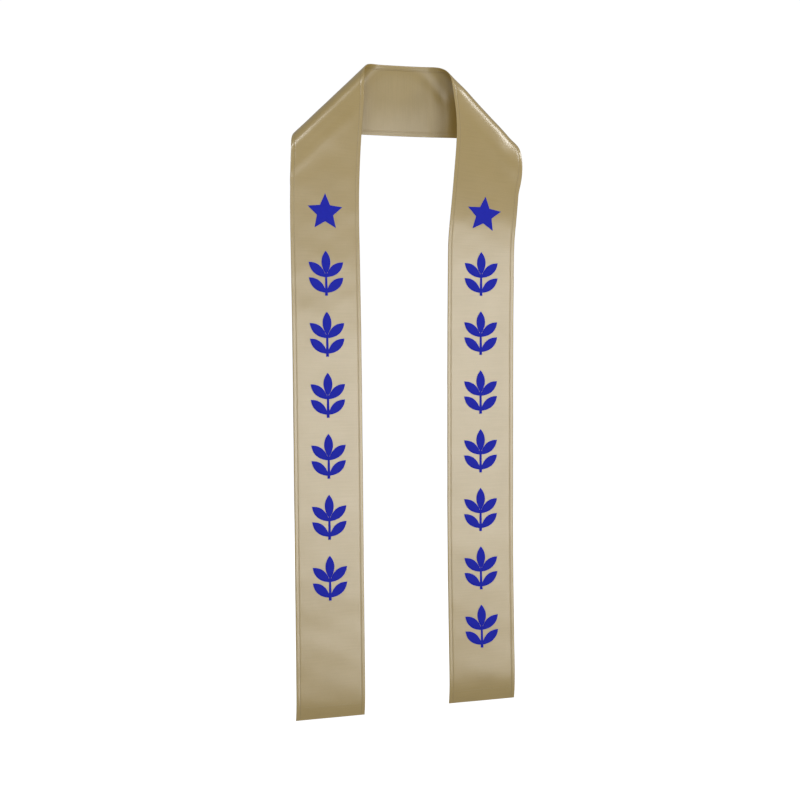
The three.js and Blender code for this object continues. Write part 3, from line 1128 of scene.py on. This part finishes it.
@dataclass
class Studio:
    """A seamless white sweep all round, soft lights and the camera."""

    camera_place: tuple[float, float, float] = (-0.633, -2.069, -0.334)
    camera_turn: tuple[float, float, float] = (87.5, 0.0, -17.0)  # degrees
    lens: float = 67.5
    sensor: float = 36.0
    world_strength: float = 0.34
    floor_height: float = -0.886
    flat_reach: float = 2.9
    sweep: float = 1.4
    wall: float = 2.2
    flat_rings: int = 12
    sweep_steps: int = 15
    sectors: int = 64
    softboxes: tuple[Softbox, ...] = (
        Softbox("overhead_softbox", (-0.62, -1.25, 1.12), (-0.14, -0.03, 0.0), 0.36, 0.3, 11.0),
        Softbox("side_softbox", (1.44, -0.72, 0.94), (0.14, -0.04, 0.0), 0.5, 0.4, 6.8),
        Softbox("front_softbox", (0.9, -2.25, -0.47), (0.0, 0.0, -0.4), 0.8, 1.06, 3.15),
        Softbox("lower_softbox", (1.1, -2.2, -1.25), (0.1, 0.0, -0.7), 0.45, 0.45, 2.8),
        Softbox("fill_softbox", (-0.15, -2.2, 0.3), (0.0, 0.0, 0.0), 0.5, 0.5, 3.2),
        Softbox("back_softbox", (-0.7, 2.2, 0.1), (0.0, 0.0, -0.35), 1.3, 1.2, 2.2),
    )

    def build(self) -> None:
        """Makes the sweep, the lights, the world and the camera."""
        self.add_sweep()
        for softbox in self.softboxes:
            self.add_light(softbox)
        self.add_world()
        self.add_camera()

    def add_sweep(self) -> None:
        """A profile turned about +Z: a flat disc, a quarter round and a wall."""
        angles = np.linspace(0, math.pi / 2, self.sweep_steps + 1)[1:]
        radius = np.concatenate(
            [
                np.linspace(0.0, self.flat_reach, self.flat_rings),
                self.flat_reach + self.sweep * np.sin(angles),
                [self.flat_reach + self.sweep],
            ]
        )
        height = np.concatenate(
            [
                np.zeros(self.flat_rings),
                self.sweep * (1 - np.cos(angles)),
                [self.sweep + self.wall],
            ]
        )
        turn = np.linspace(0, 2 * math.pi, self.sectors, endpoint=False)
        points = np.stack(
            [
                np.outer(radius, np.cos(turn)),
                np.outer(radius, np.sin(turn)),
                np.repeat(height[:, None] + self.floor_height, self.sectors, axis=1),
            ],
            axis=-1,
        )
        flat = points[..., :2]
        faces = grid_faces(len(radius), self.sectors, around=True)
        floor = new_object("studio_floor", points, faces, flat, [PaperFinish().material()])
        weld(floor)
        # Black flags keep the white sweep out of the satin's gloss, as in a product studio.
        floor.visible_glossy = False
        floor.visible_diffuse = False

    @staticmethod
    def add_light(softbox: Softbox) -> None:
        """An area light of the given radiance: its power is π times area times radiance."""
        data = bpy.data.lights.new(softbox.name, "AREA")
        data.shape = "RECTANGLE"
        data.size, data.size_y = softbox.width, softbox.height
        data.energy = math.pi * softbox.width * softbox.height * softbox.radiance
        light = add_object(softbox.name, data)
        light.location = softbox.place
        way = Vector(softbox.aim) - Vector(softbox.place)
        light.rotation_euler = way.to_track_quat("-Z", "Y").to_euler()
        light.visible_camera = False

    def add_world(self) -> None:
        """A plain pale surrounding light."""
        world = bpy.data.worlds.new("studio")
        bpy.context.scene.world = world
        world.use_nodes = True
        sky = world.node_tree.nodes["Background"]
        sky.inputs["Color"].default_value = linear("#F6F7FA")
        sky.inputs["Strength"].default_value = self.world_strength

    def add_camera(self) -> None:
        """The photograph's viewpoint: from the front, a little to the left and below the middle."""
        data = bpy.data.cameras.new("photo_camera")
        data.sensor_width = self.sensor
        data.lens = self.lens
        data.clip_start, data.clip_end = 0.05, 50.0
        camera = add_object("photo_camera", data)
        camera.location = self.camera_place
        camera.rotation_euler = [angle * DEGREE for angle in self.camera_turn]
        bpy.context.scene.camera = camera
        bpy.context.scene.view_settings.view_transform = "Standard"


def make_turned_hems(strip: HangingStrip, hems: HemLayout, finish: Material) -> list[Object]:
    """Turns the two long edges and the two ends to the wearer's side."""
    left_end, right_end = strip.end(Side.LEFT), strip.end(Side.RIGHT)
    long_run = (left_end + hems.tucked, right_end - hems.tucked)
    left_run = (left_end + hems.tucked, left_end + hems.end_hem)
    right_run = (right_end - hems.end_hem, right_end - hems.tucked)
    low, high = BAND_WIDTH / 2 - hems.side_hem, BAND_WIDTH / 2 - hems.tucked
    reach = low - hems.end_clearance
    pieces = []
    for word, run, across in (
        ("inner_edge", long_run, (low, high)),
        ("outer_edge", long_run, (-high, -low)),
        ("left_end", left_run, (-reach, reach)),
        ("right_end", right_run, (-reach, reach)),
    ):
        hem = TurnedHem(strip, hems, f"{word}_turning", *run, *across).build(finish)
        finish_piece(hem, "satin_wrong_side", f"{word}_hem")
        pieces.append(hem)
    return pieces


def make_stitching(strip: HangingStrip, hems: HemLayout, thread: Material) -> list[Object]:
    """Sews each turned edge with one row of stitches."""
    left_end, right_end = strip.end(Side.LEFT), strip.end(Side.RIGHT)
    row = StitchRow(strip, hems)
    seam = BAND_WIDTH / 2 - hems.stitch_inset
    first, corner = hems.first_stitch, hems.corner_stitch
    along = np.arange(left_end + first, right_end - first, row.pitch)
    over = np.arange(corner - seam, seam - corner / 2, row.pitch)
    left, right = left_end + hems.end_stitch_inset, right_end - hems.end_stitch_inset
    pieces = [
        row.build("inner_edge_stitching", along, np.full(len(along), seam), True, thread),
        row.build("outer_edge_stitching", along, np.full(len(along), -seam), True, thread),
        row.build("left_end_stitching", np.full(len(over), left), over, False, thread),
        row.build("right_end_stitching", np.full(len(over), right), over, False, thread),
    ]
    for piece in pieces:
        finish_piece(piece, "satin")
    return pieces


FACE_SATIN = SatinFinish(
    "champagne_satin_face", "#BEA04E", "#C4A655", "#C9AB5C", 0.4, 0.28, 1.0, 0.07
)
WRONG_SIDE_SATIN = SatinFinish(
    "champagne_satin_wrong_side", "#B69A4D", "#BCA053", "#C2A65A", 0.42, 0.36, 0.7, 0.15
)


def main() -> None:
    """Loads the frame, builds and dresses every piece, and sets up the studio."""
    logging.basicConfig(level=logging.INFO, format="%(name)s: %(message)s")
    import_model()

    strip = HangingStrip()
    hems = HemLayout()
    satin = FACE_SATIN.material()
    wrong_side = WRONG_SIDE_SATIN.material()
    thread = ThreadFinish().material()

    cloth = SatinBand(strip, hems).build(satin, wrong_side)
    finish_piece(cloth, "satin", "satin_band")
    turnings = make_turned_hems(strip, hems, wrong_side)
    stitching = make_stitching(strip, hems, thread)
    films = Emblems(strip).build(FilmFinish().material())

    Studio().build()


if __name__ == "__main__":
    main()
